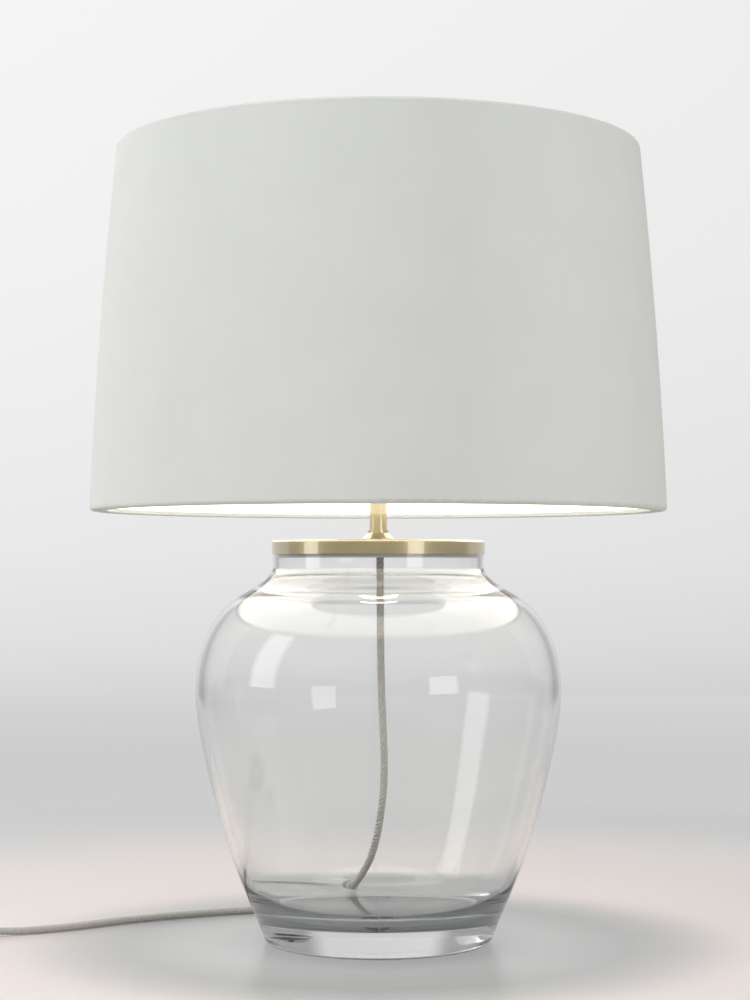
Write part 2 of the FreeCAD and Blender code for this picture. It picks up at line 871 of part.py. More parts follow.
turned_body(
    "bulb_screw_cap",
    [(cap_mouth, cap_bottom), (cap_root - s.cap_wall / 2, cap_bottom)]
    + cap_ribs
    + [
        (cap_root, cap_end - s.cap_wall * 3),
        (s.cap_thread_radius, cap_end),
        (cap_bore, cap_end),
        (cap_bore, cap_bottom + s.cap_wall),
        (cap_mouth, cap_bottom + s.cap_wall),
    ],
)
collar_rise = (s.bulb_radius.number**2 - s.collar_radius.number**2) ** 0.5
collar_rise = Size(collar_rise, "sqrt(Sizes.bulb_radius ^ 2 - Sizes.collar_radius ^ 2)")
globe_middle = bulb_bottom + s.bulb_length - s.bulb_radius
bulb_collar_top = globe_middle - collar_rise
collar_start = cap_end + s.seat_gap
collar_middle = collar_start + (bulb_collar_top - collar_start) * COLLAR_WAIST
turned_body(
    "bulb_collar",
    [
        (cap_bore - s.seat_gap - s.collar_wall, collar_start - s.collar_spigot),
        (cap_bore - s.seat_gap, collar_start - s.collar_spigot),
        (cap_bore - s.seat_gap, collar_start),
        (s.collar_foot_radius, collar_start),
        ((s.collar_foot_radius + s.collar_radius) / 2 - s.collar_wall, collar_middle),
        (s.collar_radius, bulb_collar_top),
        (s.collar_radius - s.collar_wall, bulb_collar_top),
        ((s.collar_foot_radius + s.collar_radius) / 2 - s.collar_wall * 2, collar_middle),
        (cap_bore - s.seat_gap - s.collar_wall, collar_start + s.collar_wall),
    ],
)
board_radius = s.collar_radius - s.collar_wall - s.bulb_gap * 2
board_bottom = bulb_collar_top + s.seat_gap
turned_body(
    "bulb_led_board",
    [
        (0, board_bottom),
        (board_radius, board_bottom),
        (board_radius, board_bottom + s.board_thickness),
        (0, board_bottom + s.board_thickness),
    ],
)


def led_chips():
    """Square chips in a ring on the board."""
    side, height = mm(s.chip_size), mm(s.chip_height)
    chip = Part.makeBox(side, side, height, Vector(mm(s.chip_circle) - side / 2, -side / 2, 0))
    chip.translate(UP * (mm(board_bottom) + mm(s.board_thickness)))
    count = int(mm(s.chip_count))
    return Part.makeCompound([chip.rotated(Vector(), UP, 360 / count * i) for i in range(count)])


shaped("bulb_leds", led_chips())


def globe_shape():
    """The bulb's diffuser: a ball cut off level where it meets the collar, with one wall all over."""
    radius, wall, middle = mm(s.bulb_radius), mm(s.bulb_wall), mm(globe_middle)
    cut = mm(bulb_collar_top) + mm(s.seat_gap)
    ball = Part.makeSphere(radius, Vector(0, 0, middle))
    hollow = Part.makeSphere(radius - wall, Vector(0, 0, middle))
    below = Part.makeCylinder(radius * 2, radius * 2, Vector(0, 0, cut - radius * 2))
    return ball.cut(hollow).cut(below)


shaped("bulb_globe", globe_shape())

# --------------------------------------------------------------------------------------------- shade
shade_bottom = spider_bottom - s.spider_recess
shade_top = shade_bottom + s.shade_height
hem_top = shade_bottom + s.hem_height
upper_hem_bottom = shade_top - s.hem_height


def shade_radius(height):
    """Outer radius of the bowed shade at a height."""
    low, high = mm(s.shade_bottom_radius), mm(s.shade_top_radius)
    share = (mm(height) - mm(shade_bottom)) / mm(s.shade_height)
    return low + (high - low) * share + 4 * mm(s.shade_bow) * share * (1 - share)


def bowed_arc(inset, bottom, top):
    """The shade's outline moved inwards, between two heights."""
    heights = (mm(bottom), (mm(bottom) + mm(top)) / 2, mm(top))
    return Part.Arc(*[Vector(shade_radius(height) - mm(inset), 0, height) for height in heights])


def fabric_wall(inset, thickness):
    """A skin of that thickness between the two hems."""
    outer = bowed_arc(inset, hem_top, upper_hem_bottom)
    inner = bowed_arc(inset + thickness, hem_top, upper_hem_bottom)
    edges = [
        outer.toShape(),
        inner.toShape(),
        Part.makeLine(outer.StartPoint, inner.StartPoint),
        Part.makeLine(outer.EndPoint, inner.EndPoint),
    ]
    section = Part.Face(Part.Wire(Part.sortEdges(edges)[0]))
    return section.revolve(Vector(), UP, 360)


shaped("shade_cover", fabric_wall(size(0), s.cover_thickness))
spider_middle = spider_bottom + s.spider_thickness / 2


def lining_shape():
    """The inner skin, with its seam half-way between two arms of the spider and a hole for each arm."""
    arm_angle = 360 / mm(s.arm_count)
    lining = fabric_wall(s.shade_wall - s.lining_thickness, s.lining_thickness)
    lining = lining.rotated(Vector(), UP, arm_angle / 2)
    for arm in range(int(mm(s.arm_count))):
        along = FreeCAD.Rotation(UP, arm_angle * arm).multVec(Vector(1, 0, 0))
        start = along * mm(s.shade_bottom_radius) / 2 + UP * mm(spider_middle)
        hole = Part.makeCylinder(mm(s.arm_wire + s.arm_slit), mm(s.shade_bottom_radius) / 2, start, along)
        lining = lining.cut(hole)
    return lining


shaped("shade_lining", lining_shape())


def hem(label, face, way, radius):
    """The fabric-wrapped rim between cover and lining, with rounded corners on its outer face."""
    inner = radius - s.shade_wall
    back = face + s.hem_height * way
    body = turned_body(label, [(inner, face), (radius, face), (radius, back), (inner, back)])
    round_edges(body, s.hem_round, circle_at(radius, face))
    round_edges(body, s.hem_inner_round, circle_at(inner, face))
    return body


hem("shade_bottom_hem", shade_bottom, 1, s.shade_bottom_radius)
hem("shade_top_hem", shade_top, -1, s.shade_top_radius)

low_wire_height = hem_top + s.wire_gap + s.ring_wire
high_wire_height = upper_hem_bottom - s.wire_gap - s.ring_wire


def wire_ring(label, radius, height):
    """A welded ring of round wire."""
    ring = doc.addObject("Part::Torus", label)
    ring.Label = label
    ring.setExpression("Radius1", radius.formula)
    ring.setExpression("Radius2", s.ring_wire.formula)
    ring.setExpression("Placement.Base.z", height.formula)
    NODES.append(ring)
    return ring


wire_inset = s.shade_wall / 2
wire_ring("shade_bottom_ring", s.shade_bottom_radius - wire_inset, low_wire_height)
wire_ring("shade_top_ring", s.shade_top_radius - wire_inset, high_wire_height)


def struts():
    """Bowed wires from the bottom ring to the top ring."""
    bottom = low_wire_height + s.ring_wire
    top = high_wire_height - s.ring_wire
    strut = swept([bowed_arc(wire_inset, bottom, top).toShape()], mm(s.strut_wire))
    count = int(mm(s.strut_count))
    return Part.makeCompound([strut.rotated(Vector(), UP, 360 / count * i) for i in range(count)])


shaped("shade_struts", struts())

spider = new_body("shade_spider")
spider_disc = circle_sketch(spider, spider_ring_radius, offset=spider_bottom)
pad(spider, spider_disc, s.spider_thickness)
arm_start = spider_ring_radius - s.arm_weld
arm_centre = (0, spider_middle)
arm_circle = circle_sketch(spider, s.arm_wire, centre=arm_centre, plane="YZ_Plane", offset=arm_start)
arm_reach = Size(shade_radius(spider_middle) - shade_radius(shade_bottom), None) + s.shade_bottom_radius
strut_lean = (s.shade_bottom_radius - s.shade_top_radius) / s.shade_height
arm_end = arm_reach - wire_inset - s.strut_wire - s.wire_gap - s.arm_wire * strut_lean
arm_pad = pad(spider, arm_circle, arm_end - arm_start)
pattern(spider, arm_pad, spider_disc, s.arm_count)
pocket(spider, circle_sketch(spider, spider_bore, offset=spider_bottom), s.spider_thickness, reverse=True)

# --------------------------------------------------------------------------------------------- flex
# Route of the flex where it isn't coiled: hand-chosen corners, in millimetres.
LEAD_ROUTE = (
    (1.2, 0.0, 269.4),
    (1.3, 0.0, 232.0),
    (2.0, 0.4, 171.0),
    (5.2, 2.5, 112.0),
    (-1.6, 22.0, 63.5),
    (-14.2, 55.8, 34.2),
    (-26.3, 103.1, 13.4),
    (-43.0, 124.6, 3.6),
    (-71.0, 128.0, 2.75),
    (-110.0, 118.0, 2.75),
    (-154.5, 95.5, 2.75),
    (-190.0, 71.5, 2.75),
    (-222.0, 42.0, 2.75),
    (-262.0, 21.3, 2.75),
    (-281.0, 12.6, 6.5),
    (-300.0, 3.9, 6.5),
)
LINK_ROUTE = (
    (-356.4, -21.9, 6.5),
    (-367.3, -26.9, 6.5),
    (-378.2, -31.9, 2.75),
    (-389.1, -36.9, 2.75),
)
TAIL_ROUTE = (
    (-372.5, -113.3, 8.25),
    (-363.5, -113.3, 8.25),
    (-354.5, -113.3, 6.85),
    (-345.5, -113.3, 6.85),
)
COIL_CENTRE = Vector(-372.5, -73.3, 0)
ARC_SHARE = 0.45  # share of the shorter run beside a corner that its arc may take
VOLUME_ERROR = 0.01


def route_edges(route, label):
    """Straight runs joined by tangent arcs, each as large as its two runs allow."""
    points = [Vector(*point) for point in route]
    edges, start, radii = [], points[0], []
    for before, corner, after in zip(points, points[1:], points[2:]):
        back, ahead = (before - corner), (after - corner)
        cut = ARC_SHARE * min(back.Length, ahead.Length)
        back.normalize()
        ahead.normalize()
        half_turn = (math.pi - back.getAngle(ahead)) / 2
        radius = cut / math.tan(half_turn)
        first, last = corner + back * cut, corner + ahead * cut
        to_middle = (back + ahead).normalize()
        middle = corner + to_middle * (radius / math.cos(half_turn) - radius)
        edges.append(Part.makeLine(start, first))
        edges.append(Part.Arc(first, middle, last).toShape())
        radii.append(round(radius))
        start = last
    edges.append(Part.makeLine(start, points[-1]))
    print(label, "arc radii", radii)
    return edges


def cord_tube(label, route, trim=None):
    """The flex along a route. Its volume is tested before it is trimmed where it meets the coil."""
    edges = route_edges(route, label)
    radius = mm(s.cord_radius)
    tube = swept(edges, radius)
    length = sum(edge.Length for edge in edges)
    expected = math.pi * radius**2 * length
    print(label, "length", round(length, 1), "volume ratio", round(tube.Volume / expected, 4))
    if abs(tube.Volume / expected - 1) > VOLUME_ERROR:
        raise RuntimeError(f"{label} has the wrong volume")
    return shaped(label, tube.cut(trim) if trim else tube)


coil_outside = s.coil_outer_turn + s.cord_radius
coil_inside = s.coil_inner_turn - s.cord_radius
coil_height = s.cord_radius * 2 * s.coil_layers
coil = washer("cord_coil", coil_inside, coil_outside, 0, coil_height)
coil.Placement = FreeCAD.Placement(COIL_CENTRE, FreeCAD.Rotation())
cord_tube("cord_lead", LEAD_ROUTE)
cord_tube("cord_link", LINK_ROUTE, trim=coil.Shape)
cord_tube("cord_tail", TAIL_ROUTE, trim=coil.Shape)

# --------------------------------------------------------------------------------------------- switch
switch_in, switch_out = Vector(*LEAD_ROUTE[-1]), Vector(*LINK_ROUTE[0])
switch_way = Vector(switch_out.x - switch_in.x, switch_out.y - switch_in.y, 0)
switch_middle = Vector((switch_in.x + switch_out.x) / 2, (switch_in.y + switch_out.y) / 2, 0)
switch_place = FreeCAD.Placement(switch_middle, FreeCAD.Rotation(Vector(1, 0, 0), switch_way))
rocker_half = s.rocker_length / 2
window_half = rocker_half + s.rocker_play
window_side = s.rocker_width / 2 + s.rocker_play
cavity_side = s.switch_width / 2 - s.switch_wall
screw_hole = s.screw_radius + s.screw_play


def capsule(inset):
    """The switch's outline seen from above: straight sides that narrow to a nose at each end."""
    end, side = s.switch_length / 2 - inset, s.switch_width / 2 - inset
    neck, nose = s.switch_length / 2 - s.switch_shoulder, s.switch_nose - inset / 2
    corners = [(end, nose), (neck, side)]
    return (
        [(x, y) for x, y in corners]
        + [(-x, y) for x, y in reversed(corners)]
        + [(-x, -y) for x, y in corners]
        + [(x, -y) for x, y in reversed(corners)]
    )


def rectangle(half_x, half_y, x=0, y=0):
    half_x, half_y, x, y = size(half_x), size(half_y), size(x), size(y)
    corners = ((-1, -1), (1, -1), (1, 1), (-1, 1))
    return [(x + half_x * across, y + half_y * along) for across, along in corners]


SCREW_PLACES = ((s.boss_x, s.boss_y), (-s.boss_x, -s.boss_y))


def switch_base():
    body = new_body("switch_base")
    pad(body, outline_sketch(body, capsule(size(0)), plane="XY_Plane"), s.switch_split)
    round_edges(body, s.switch_round / 2, lambda edge: abs(edge.BoundBox.ZMax) < SAME, "PartDesign::Chamfer")
    tray = outline_sketch(body, capsule(s.switch_wall), plane="XY_Plane", offset=s.switch_wall)
    pocket(body, tray, s.switch_height, reverse=True)
    for x, y in SCREW_PLACES:
        post = circle_sketch(body, s.boss_radius, centre=(x, y), offset=s.switch_wall / 2)
        pad(body, post, s.switch_split - s.switch_wall / 2)
        pocket(body, circle_sketch(body, screw_hole, centre=(x, y)), s.switch_split, reverse=True)
        head = circle_sketch(body, s.screw_head + s.screw_play, centre=(x, y))
        pocket(body, head, s.screw_head_height, reverse=True)
    body.Placement = switch_place
    return body


def switch_cover():
    body = new_body("switch_cover")
    height = s.switch_height - s.switch_split
    pad(body, outline_sketch(body, capsule(size(0)), plane="XY_Plane", offset=s.switch_split), height)
    top = mm(s.switch_height)
    round_edges(body, s.switch_round, lambda edge: abs(edge.BoundBox.ZMin - top) < SAME)
    hollow = outline_sketch(body, capsule(s.switch_wall), plane="XY_Plane", offset=s.switch_split)
    pocket(body, hollow, height - s.switch_wall, reverse=True)
    opening = rectangle(window_half, window_side)
    window = outline_sketch(body, opening, plane="XY_Plane", offset=s.switch_split)
    pocket(body, window, height, reverse=True)
    for x, y in SCREW_PLACES:
        post = circle_sketch(body, s.boss_radius, centre=(x, y), offset=s.switch_split)
        pad(body, post, height - s.switch_wall / 2)
        pilot = circle_sketch(body, screw_hole, centre=(x, y), offset=s.switch_split)
        pocket(body, pilot, height - s.switch_wall * 2, reverse=True)
    seats = circle_sketch(body, s.pivot_radius + s.pivot_play, centre=(0, s.pivot_height), plane="XZ_Plane")
    pocket(body, seats, (cavity_side + s.pivot_seat) * 2, both_ways=True)
    body.Placement = switch_place
    return body


def switch_rocker():
    """The rocker, modelled level and then tilted to its lit position about its pin."""
    body = new_body("switch_rocker")
    low, high = s.pivot_height - s.rocker_under_pivot, s.pivot_height + s.rocker_above_pivot
    tip = rocker_half - s.rocker_taper
    side_view = [
        (-rocker_half, low),
        (rocker_half, low),
        (tip, high + s.rocker_tip_rise),
        (0, high),
        (-tip, high + s.rocker_tip_rise),
    ]
    pad(body, outline_sketch(body, side_view), s.rocker_width, both_ways=True)
    bore = circle_sketch(body, s.pivot_radius + s.pivot_play, centre=(0, s.pivot_height), plane="XZ_Plane")
    pocket(body, bore, s.rocker_width * 2, both_ways=True)
    pivot = Vector(0, 0, mm(s.pivot_height))
    tilt = FreeCAD.Placement(Vector(), FreeCAD.Rotation(Vector(0, 1, 0), mm(s.rocker_tilt)), pivot)
    body.Placement = switch_place * tilt
    return body


def switch_pivot():
    body = new_body("switch_pivot")
    across = circle_sketch(body, s.pivot_radius, centre=(0, s.pivot_height), plane="XZ_Plane")
    pad(body, across, (cavity_side + s.pivot_seat - s.screw_play) * 2, both_ways=True)
    body.Placement = switch_place
    return body


def switch_screws():
    """Two slotted screws, driven in from below."""
    head_radius, head_height = mm(s.screw_head), mm(s.screw_head_height - s.screw_play)
    slot_width = mm(s.slot_width)
    screws = []
    for x, y in SCREW_PLACES:
        foot = Vector(mm(x), mm(y), mm(s.screw_play))
        corner = foot - Vector(head_radius, slot_width / 2, 0)
        slot = Part.makeBox(head_radius * 2, slot_width, mm(s.slot_depth), corner)
        shank = Part.makeCylinder(mm(s.screw_radius), mm(s.screw_length), foot)
        head = Part.makeCylinder(head_radius, head_height, foot)
        screws.append(head.fuse(shank).removeSplitter().cut(slot))
    return Part.makeCompound(screws)


def switch_clamps():
    """Brass clamps on the tray's floor, one for each end of the cut core."""
    long, wide, tall = mm(s.clamp_length), mm(s.clamp_width), mm(s.clamp_height)
    clamps = []
    for side in (-1, 1):
        middle = Vector(side * mm(s.clamp_x), -side * mm(s.clamp_y), mm(s.switch_wall))
        clamps.append(Part.makeBox(long, wide, tall, middle - Vector(long / 2, wide / 2, 0)))
    return Part.makeCompound(clamps)


switch_base()
switch_cover()
switch_rocker()
switch_pivot()
shaped("switch_screws", switch_screws(), switch_place)
shaped("switch_clamps", switch_clamps(), switch_place)

# --------------------------------------------------------------------------------------------- plug
relief_start = Vector(*TAIL_ROUTE[-1])
plug_place = FreeCAD.Placement(relief_start + Vector(mm(s.relief_length), 0, 0), FreeCAD.Rotation())


def plug_relief():
    """A tapered sleeve with grooves around it, built along Z and laid down behind the plug."""
    points = [(0, -s.relief_length), (s.relief_tip, -s.relief_length)]
    step = s.relief_length / (s.relief_grooves.number + 1)
    for ring in range(1, int(mm(s.relief_grooves)) + 1):
        share = ring / (mm(s.relief_grooves) + 1)
        radius = s.relief_tip + (s.relief_radius - s.relief_tip) * share
        middle = step * ring - s.relief_length
        points.append((radius, middle - s.relief_groove))
        points.append((radius - s.relief_groove, middle))
        points.append((radius, middle + s.relief_groove))
    points += [(s.relief_radius, 0), (0, 0)]
    body = turned_body("plug_relief", points)
    body.Placement = plug_place * FreeCAD.Placement(Vector(), FreeCAD.Rotation(UP, Vector(1, 0, 0)))
    return body


def plug_body():
    body = new_body("plug_body")
    end, side, tail, front = s.plug_length, s.plug_width / 2, s.plug_tail_width / 2, s.plug_front_width / 2
    shoulder = s.plug_shoulder
    half = [(0, -tail), (shoulder, -side), (end - shoulder / 2, -side), (end, -front)]
    outline = half + [(x, -y) for x, y in reversed([(size(x), size(y)) for x, y in half])]
    pad(body, outline_sketch(body, outline, plane="XY_Plane"), s.plug_thickness, both_ways=True)
    top = mm(s.plug_thickness) / 2

    def on_a_flat_side(edge):
        return edge.BoundBox.ZLength < SAME and abs(edge.BoundBox.ZMax) > top - SAME

    round_edges(body, s.plug_round, on_a_flat_side)
    for way in (-1, 1):
        middle = (way * s.pin_spacing / 2, 0)
        seat = circle_sketch(body, s.pin_shank + s.sleeve_play, centre=middle, plane="YZ_Plane", offset=end)
        pocket(body, seat, s.pin_seat)
    body.Placement = plug_place
    return body


def pin_profile():
    """Half section of a pin: a shank in the plug and its sleeve, then a full-width tip with a round end."""
    shank, full, length = mm(s.pin_shank), mm(s.pin_radius), mm(s.pin_length)
    step = mm(s.sleeve_length) + mm(s.sleeve_play)
    edges = [
        Part.makeLine(in_section(0, -mm(s.pin_seat)), in_section(shank, -mm(s.pin_seat))),
        Part.makeLine(in_section(shank, -mm(s.pin_seat)), in_section(shank, step)),
        Part.makeLine(in_section(shank, step), in_section(full, step)),
        Part.makeLine(in_section(full, step), in_section(full, length - full)),
        Part.Arc(
            in_section(full, length - full),
            in_section(full * HALF_RIGHT_ANGLE, length - full + full * HALF_RIGHT_ANGLE),
            in_section(0, length),
        ).toShape(),
        Part.makeLine(in_section(0, length), in_section(0, -mm(s.pin_seat))),
    ]
    return Part.Face(Part.Wire(edges))


def both_pins(one):
    """A shape along Z, laid along the plug's X at both pins' places."""
    laid = FreeCAD.Rotation(UP, Vector(1, 0, 0))
    copies = []
    for way in (-1, 1):
        copy = one.copy()
        copy.Placement = FreeCAD.Placement(Vector(mm(s.plug_length), way * mm(s.pin_spacing) / 2, 0), laid)
        copies.append(copy)
    return Part.makeCompound(copies)


plug_body()
plug_relief()
shaped("plug_pins", both_pins(pin_profile().revolve(Vector(), UP, 360)), plug_place)
sleeve_bore = mm(s.pin_shank + s.sleeve_play)
sleeve = Part.makeCylinder(mm(s.sleeve_radius), mm(s.sleeve_length))
sleeve = sleeve.cut(Part.makeCylinder(sleeve_bore, mm(s.sleeve_length)))
shaped("plug_pin_sleeves", both_pins(sleeve), plug_place)

# --------------------------------------------------------------------------------------------- files
doc.recompute()
for item in doc.Objects:
    if {"Invalid", "Error"} & set(item.State):
        raise RuntimeError(f"{item.Label} failed: {item.State}")
labels = [node.Label for node in NODES]
if len(set(labels)) != len(labels):
    raise RuntimeError("two pieces share a name")
for node in NODES:
    if node.Shape.isNull() or not node.Shape.isValid() or not node.Shape.Solids:
        raise RuntimeError(f"{node.Label} is not a valid solid")
os.makedirs("parts", exist_ok=True)
for node in NODES:
    node.Shape.exportStep(f"parts/{node.Label}.step")
print(len(NODES), "pieces written")
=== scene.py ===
"""The table lamp's looks: clear glass jar, brass lid and stem, bowed linen shade, twisted flex, switch and plug.

Every length is in metres, in the frame's own axes: +Z up, the origin under the jar, +Y to the back.
"""

import math

import bmesh
import bpy
import numpy
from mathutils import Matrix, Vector


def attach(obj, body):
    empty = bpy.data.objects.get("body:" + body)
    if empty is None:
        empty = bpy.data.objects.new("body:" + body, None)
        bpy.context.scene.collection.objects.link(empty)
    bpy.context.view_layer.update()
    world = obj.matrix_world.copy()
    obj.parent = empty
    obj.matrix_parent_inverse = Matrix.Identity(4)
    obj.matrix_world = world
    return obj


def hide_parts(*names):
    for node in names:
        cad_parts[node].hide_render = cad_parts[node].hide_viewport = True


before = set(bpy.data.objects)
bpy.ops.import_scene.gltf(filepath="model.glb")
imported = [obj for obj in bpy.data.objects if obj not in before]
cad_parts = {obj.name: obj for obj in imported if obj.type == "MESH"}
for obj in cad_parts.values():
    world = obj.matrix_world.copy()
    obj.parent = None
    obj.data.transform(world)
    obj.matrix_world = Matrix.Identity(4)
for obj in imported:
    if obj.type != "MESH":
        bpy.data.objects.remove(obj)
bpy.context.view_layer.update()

# ------------------------------------------------------------------------------------------- materials


def new_material(name):
    """A material with only a Principled shader and its output."""
    material = bpy.data.materials.new(name)
    material.use_nodes = True
    nodes = material.node_tree.nodes
    nodes.clear()
    output = nodes.new("ShaderNodeOutputMaterial")
    shader = nodes.new("ShaderNodeBsdfPrincipled")
    material.node_tree.links.new(shader.outputs["BSDF"], output.inputs["Surface"])
    return material, shader


def add(material, kind, **settings):
    node = material.node_tree.nodes.new(kind)
    for key, value in settings.items():
        if key in node.inputs:
            node.inputs[key].default_value = value
        else:
            setattr(node, key, value)
    return node


def link(material, source, target):
    material.node_tree.links.new(source, target)


def ramp(material, source, stops):
    """A colour ramp over a value, with (place, colour) stops."""
    node = add(material, "ShaderNodeValToRGB")
    elements = node.color_ramp.elements
    while len(elements) < len(stops):
        elements.new(0.5)
    for element, (place, colour) in zip(elements, stops):
        element.position = place
        element.color = (*colour, 1.0)
    link(material, source, node.inputs["Fac"])
    return node.outputs["Color"]


def shown(red, green, blue):
    """The colour that shows as these 0 to 255 levels on the screen."""
    return tuple(((level / 255 + 0.055) / 1.055) ** 2.4 for level in (red, green, blue))


def grey(level):
    return shown(level, level, level)


def noise(material, scale, detail=2.0, vector=None):
    node = add(material, "ShaderNodeTexNoise", Scale=scale, Detail=detail)
    if vector is None:
        vector = add(material, "ShaderNodeNewGeometry").outputs["Position"]
    link(material, vector, node.inputs["Vector"])
    return node.outputs["Fac"]


def bump(material, shader, height, strength, distance):
    node = add(material, "ShaderNodeBump", Strength=strength, Distance=distance)
    link(material, height, node.inputs["Height"])
    link(material, node.outputs["Normal"], shader.inputs["Normal"])


def tinted(material, shader, colour, spread, scale, detail=3.0):
    """A base colour that drifts a little, darker and lighter, over the surface."""
    low = [max(channel - spread, 0) for channel in colour]
    high = [min(channel + spread, 1) for channel in colour]
    out = ramp(material, noise(material, scale, detail), ((0.3, low), (0.7, high)))
    link(material, out, shader.inputs["Base Color"])


def moulded(name, colour, roughness, spread=0.012, grain=900.0, grain_depth=0.00004):
    """Moulded plastic or rubber with a fine grain."""
    material, shader = new_material(name)
    tinted(material, shader, colour, spread, 45)
    shader.inputs["Roughness"].default_value = roughness
    bump(material, shader, noise(material, grain), 0.25, grain_depth)
    return material


def metal(name, colour, low, high, brushed=0.0, lacquer=0.0):
    """Metal with a roughness that drifts between low and high, under a clear lacquer if it has one."""
    material, shader = new_material(name)
    tinted(material, shader, colour, 0.02, 30)
    shader.inputs["Metallic"].default_value = 1.0
    rough = add(material, "ShaderNodeMapRange")
    rough.inputs["To Min"].default_value = low
    rough.inputs["To Max"].default_value = high
    link(material, noise(material, 60, 4), rough.inputs["Value"])
    link(material, rough.outputs["Result"], shader.inputs["Roughness"])
    if brushed:
        bump(material, shader, noise(material, 1500), brushed, 0.00001)
    shader.inputs["Coat Weight"].default_value = lacquer
    shader.inputs["Coat Roughness"].default_value = 0.02
    shader.inputs["Coat IOR"].default_value = 2.0
    return material


def lets_lamps_through(material, shader):
    """Rays on their way to a lamp pass straight through, tinted by the glass."""
    output = next(node for node in material.node_tree.nodes if node.type == "OUTPUT_MATERIAL")
    clear = add(material, "ShaderNodeBsdfTransparent", Color=(0.93, 0.94, 0.94, 1.0))
    rays = add(material, "ShaderNodeLightPath")
    mix = add(material, "ShaderNodeMixShader")
    link(material, rays.outputs["Is Shadow Ray"], mix.inputs["Fac"])
    link(material, shader.outputs["BSDF"], mix.inputs[1])
    link(material, clear.outputs["BSDF"], mix.inputs[2])
    link(material, mix.outputs["Shader"], output.inputs["Surface"])


def glass_material():
    """Clear glass that takes a little light over each millimetre, so its edges and base are greyer."""
    material, shader = new_material("clear_glass")
    shader.inputs["Base Color"].default_value = (0.99, 0.995, 0.99, 1.0)
    shader.inputs["Roughness"].default_value = 0.0
    shader.inputs["IOR"].default_value = 1.5
    shader.inputs["Transmission Weight"].default_value = 1.0
    lets_lamps_through(material, shader)
    output = next(node for node in material.node_tree.nodes if node.type == "OUTPUT_MATERIAL")
    body = add(material, "ShaderNodeVolumeAbsorption", Color=(0.50, 0.52, 0.51, 1.0), Density=3.0)
    link(material, body.outputs["Volume"], output.inputs["Volume"])
    return material


def fabric_material(name, colour, weave, depth, glow=None):
    """Plain-weave cloth: crossed threads around the lamp and up it, with slubs and a slight sheen; a glow adds an
    emission that paints light into the cloth.
    """
    material, shader = new_material(name)
    tinted(material, shader, colour, 0.008, 25)
    shader.inputs["Roughness"].default_value = 0.9
    shader.inputs["Sheen Weight"].default_value = 0.15
    shader.inputs["Sheen Roughness"].default_value = 0.5
    shader.inputs["Specular IOR Level"].default_value = 0.25
    place = add(material, "ShaderNodeNewGeometry").outputs["Position"]
    split = add(material, "ShaderNodeSeparateXYZ")
    link(material, place, split.inputs["Vector"])
    around = add(material, "ShaderNodeMath", operation="ARCTAN2")
    link(material, split.outputs["Y"], around.inputs[0])
    link(material, split.outputs["X"], around.inputs[1])
    threads = []
    for source, per_unit in ((around.outputs["Value"], weave * 0.19), (split.outputs["Z"], weave)):
        scaled = add(material, "ShaderNodeMath", operation="MULTIPLY")
        scaled.inputs[1].default_value = per_unit * math.tau
        link(material, source, scaled.inputs[0])
        wave = add(material, "ShaderNodeMath", operation="SINE")
        link(material, scaled.outputs["Value"], wave.inputs[0])
        threads.append(wave.outputs["Value"])
    cross = add(material, "ShaderNodeMath", operation="MULTIPLY")
    link(material, threads[0], cross.inputs[0])
    link(material, threads[1], cross.inputs[1])
    slub = add(material, "ShaderNodeMath", operation="ADD")
    link(material, cross.outputs["Value"], slub.inputs[0])
    link(material, noise(material, 700, 3), slub.inputs[1])
    bump(material, shader, slub.outputs["Value"], 0.35, depth)
    # Painted light: an emission in the cloth stands in for lamp light falling on it, though the cloth is no lamp.
    if glow:
        shader.inputs["Emission Color"].default_value = (*glow[0], 1.0)
        shader.inputs["Emission Strength"].default_value = glow[1]
    return material


def flex_material():
    """Twisted textile flex: pale yarn with a braided grain."""
    material, shader = new_material("flex_yarn")
    tinted(material, shader, (0.43, 0.415, 0.38), 0.05, 900, 2)
    shader.inputs["Roughness"].default_value = 0.85
    shader.inputs["Sheen Weight"].default_value = 0.2
    bump(material, shader, noise(material, 2600, 2), 0.5, 0.00015)
    return material


def lit_material(name, colour, strength):
    material, shader = new_material(name)
    tinted(material, shader, (0.95, 0.93, 0.88), 0.01, 40)
    shader.inputs["Roughness"].default_value = 0.4
    shader.inputs["Emission Color"].default_value = (*colour, 1.0)
    shader.inputs["Emission Strength"].default_value = strength
    return material


WARM = (1.0, 0.965, 0.90)
GLASS = glass_material()
BRASS = metal("antique_brass", (0.44, 0.36, 0.19), 0.26, 0.34, lacquer=1.0)
LINEN = fabric_material("shade_linen", (0.595, 0.605, 0.575), 1500, 0.00006)
# The lining glows with painted light: a warm emission stands in for the lit bulb's light inside the shade.
LINING_PAINTED_GLOW = fabric_material("shade_lining", (0.90, 0.88, 0.83), 1200, 0.00003, glow=(WARM, 1.0))
YARN = flex_material()
STEEL = metal("zinc_steel", (0.62, 0.62, 0.60), 0.25, 0.4)
CONTACT = metal("contact_brass", (0.75, 0.58, 0.28), 0.2, 0.35)
NICKEL = metal("nickel", (0.72, 0.70, 0.66), 0.12, 0.25)
WHITE_PLASTIC = moulded("white_plastic", (0.80, 0.79, 0.76), 0.4)
IVORY = moulded("ivory_plastic", (0.70, 0.67, 0.59), 0.35)
IVORY_RUBBER = moulded("ivory_rubber", (0.66, 0.63, 0.56), 0.6)
ROCKER = moulded("rocker_plastic", (0.62, 0.58, 0.50), 0.3)
BLACK = moulded("black_plastic", (0.02, 0.02, 0.02), 0.35, spread=0.005)
CORES = moulded("core_plastic", (0.16, 0.08, 0.04), 0.4, spread=0.02)
CERAMIC = moulded("holder_ceramic", (0.82, 0.80, 0.76), 0.55)
SILICONE = moulded("silicone", (0.55, 0.53, 0.50), 0.5)
CLEAR_RUBBER = moulded("clear_rubber", (0.60, 0.60, 0.58), 0.45)
WIRE = moulded("white_wire", (0.85, 0.84, 0.82), 0.35)
BOARD = moulded("white_board", (0.85, 0.85, 0.85), 0.3)
